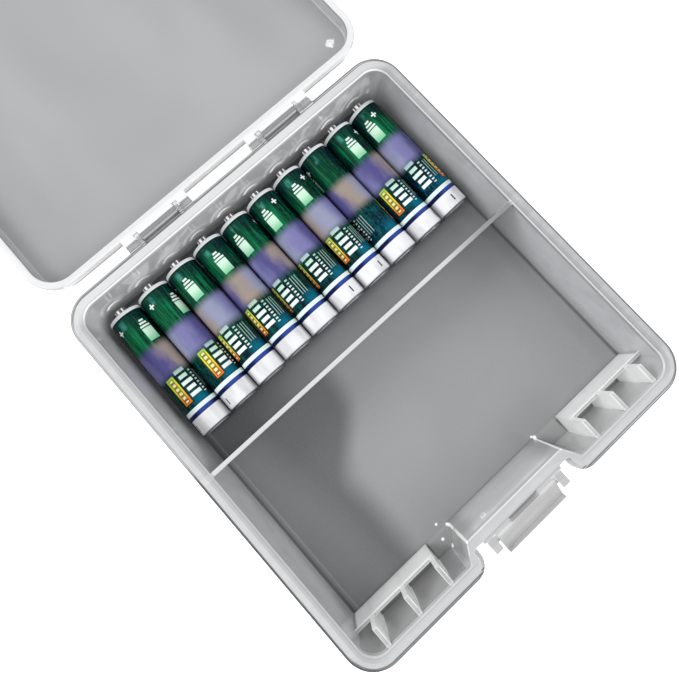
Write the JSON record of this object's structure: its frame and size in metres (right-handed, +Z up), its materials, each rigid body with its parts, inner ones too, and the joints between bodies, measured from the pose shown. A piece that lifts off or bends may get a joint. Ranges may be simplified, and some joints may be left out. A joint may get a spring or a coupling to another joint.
{
  "type": "battery storage case",
  "caption": "Shallow frosted plastic battery case with hinged lid lying open, front snap latch, divider and a row of AAA cells in the rear compartment.",
  "frame": {"origin": "centre of the underside of the tray", "axes": "+Z up, +X along the hinge towards the right of someone facing the latch, +Y from the latch side to the hinge side"},
  "size_m": [0.1212, 0.263, 0.0217],
  "materials": {
    "frosted_plastic": "translucent frosted polypropylene, satin",
    "latch_plastic": "translucent polypropylene, satin",
    "printed_sleeve": "glossy printed shrink sleeve, dark green and teal with a pale violet band and yellow and white blocks",
    "plated_steel": "bright nickel-plated steel",
    "cell_filling": "black pressed powder",
    "nylon_seal": "dark nylon",
    "end_plate_steel": "nickel-plated steel"
  },
  "bodies": {
    "tray": {"base_tray": "frosted_plastic"},
    "lid_body": {"lid": "frosted_plastic"},
    "latch_body": {"latch": "latch_plastic"},
    "cell_01": {"cell_01_label": "printed_sleeve", "cell_01_can": "plated_steel", "cell_01_core": "cell_filling", "cell_01_seal": "nylon_seal", "cell_01_end_plate": "end_plate_steel"},
    "cell_02": {"cell_02_label": "printed_sleeve", "cell_02_can": "plated_steel", "cell_02_core": "cell_filling", "cell_02_seal": "nylon_seal", "cell_02_end_plate": "end_plate_steel"},
    "cell_03": {"cell_03_label": "printed_sleeve", "cell_03_can": "plated_steel", "cell_03_core": "cell_filling", "cell_03_seal": "nylon_seal", "cell_03_end_plate": "end_plate_steel"},
    "cell_04": {"cell_04_label": "printed_sleeve", "cell_04_can": "plated_steel", "cell_04_core": "cell_filling", "cell_04_seal": "nylon_seal", "cell_04_end_plate": "end_plate_steel"},
    "cell_05": {"cell_05_label": "printed_sleeve", "cell_05_can": "plated_steel", "cell_05_core": "cell_filling", "cell_05_seal": "nylon_seal", "cell_05_end_plate": "end_plate_steel"},
    "cell_06": {"cell_06_label": "printed_sleeve", "cell_06_can": "plated_steel", "cell_06_core": "cell_filling", "cell_06_seal": "nylon_seal", "cell_06_end_plate": "end_plate_steel"},
    "cell_07": {"cell_07_label": "printed_sleeve", "cell_07_can": "plated_steel", "cell_07_core": "cell_filling", "cell_07_seal": "nylon_seal", "cell_07_end_plate": "end_plate_steel"},
    "cell_08": {"cell_08_label": "printed_sleeve", "cell_08_can": "plated_steel", "cell_08_core": "cell_filling", "cell_08_seal": "nylon_seal", "cell_08_end_plate": "end_plate_steel"},
    "cell_09": {"cell_09_label": "printed_sleeve", "cell_09_can": "plated_steel", "cell_09_core": "cell_filling", "cell_09_seal": "nylon_seal", "cell_09_end_plate": "end_plate_steel"},
    "cell_10": {"cell_10_label": "printed_sleeve", "cell_10_can": "plated_steel", "cell_10_core": "cell_filling", "cell_10_seal": "nylon_seal", "cell_10_end_plate": "end_plate_steel"}
  },
  "joints": [
    {"name": "lid_hinge", "type": "hinge", "parent": "tray", "child": "lid_body", "pos_m": [0, 0.0662, 0.0201], "axis": [-1, 0, 0], "range_deg": [-180, 0]},
    {"name": "latch_hinge", "type": "hinge", "parent": "tray", "child": "latch_body", "pos_m": [0, -0.0607, 0.0175], "axis": [1, 0, 0], "range_deg": [-125, 0]},
    {"name": "cell_01_lift", "type": "slide", "parent": "tray", "child": "cell_01", "axis": [0, 0, 1], "range_m": [0, 0.06]},
    {"name": "cell_02_lift", "type": "slide", "parent": "tray", "child": "cell_02", "axis": [0, 0, 1], "range_m": [0, 0.06]},
    {"name": "cell_03_lift", "type": "slide", "parent": "tray", "child": "cell_03", "axis": [0, 0, 1], "range_m": [0, 0.06]},
    {"name": "cell_04_lift", "type": "slide", "parent": "tray", "child": "cell_04", "axis": [0, 0, 1], "range_m": [0, 0.06]},
    {"name": "cell_05_lift", "type": "slide", "parent": "tray", "child": "cell_05", "axis": [0, 0, 1], "range_m": [0, 0.06]},
    {"name": "cell_06_lift", "type": "slide", "parent": "tray", "child": "cell_06", "axis": [0, 0, 1], "range_m": [0, 0.06]},
    {"name": "cell_07_lift", "type": "slide", "parent": "tray", "child": "cell_07", "axis": [0, 0, 1], "range_m": [0, 0.06]},
    {"name": "cell_08_lift", "type": "slide", "parent": "tray", "child": "cell_08", "axis": [0, 0, 1], "range_m": [0, 0.06]},
    {"name": "cell_09_lift", "type": "slide", "parent": "tray", "child": "cell_09", "axis": [0, 0, 1], "range_m": [0, 0.06]},
    {"name": "cell_10_lift", "type": "slide", "parent": "tray", "child": "cell_10", "axis": [0, 0, 1], "range_m": [0, 0.06]}
  ]
}
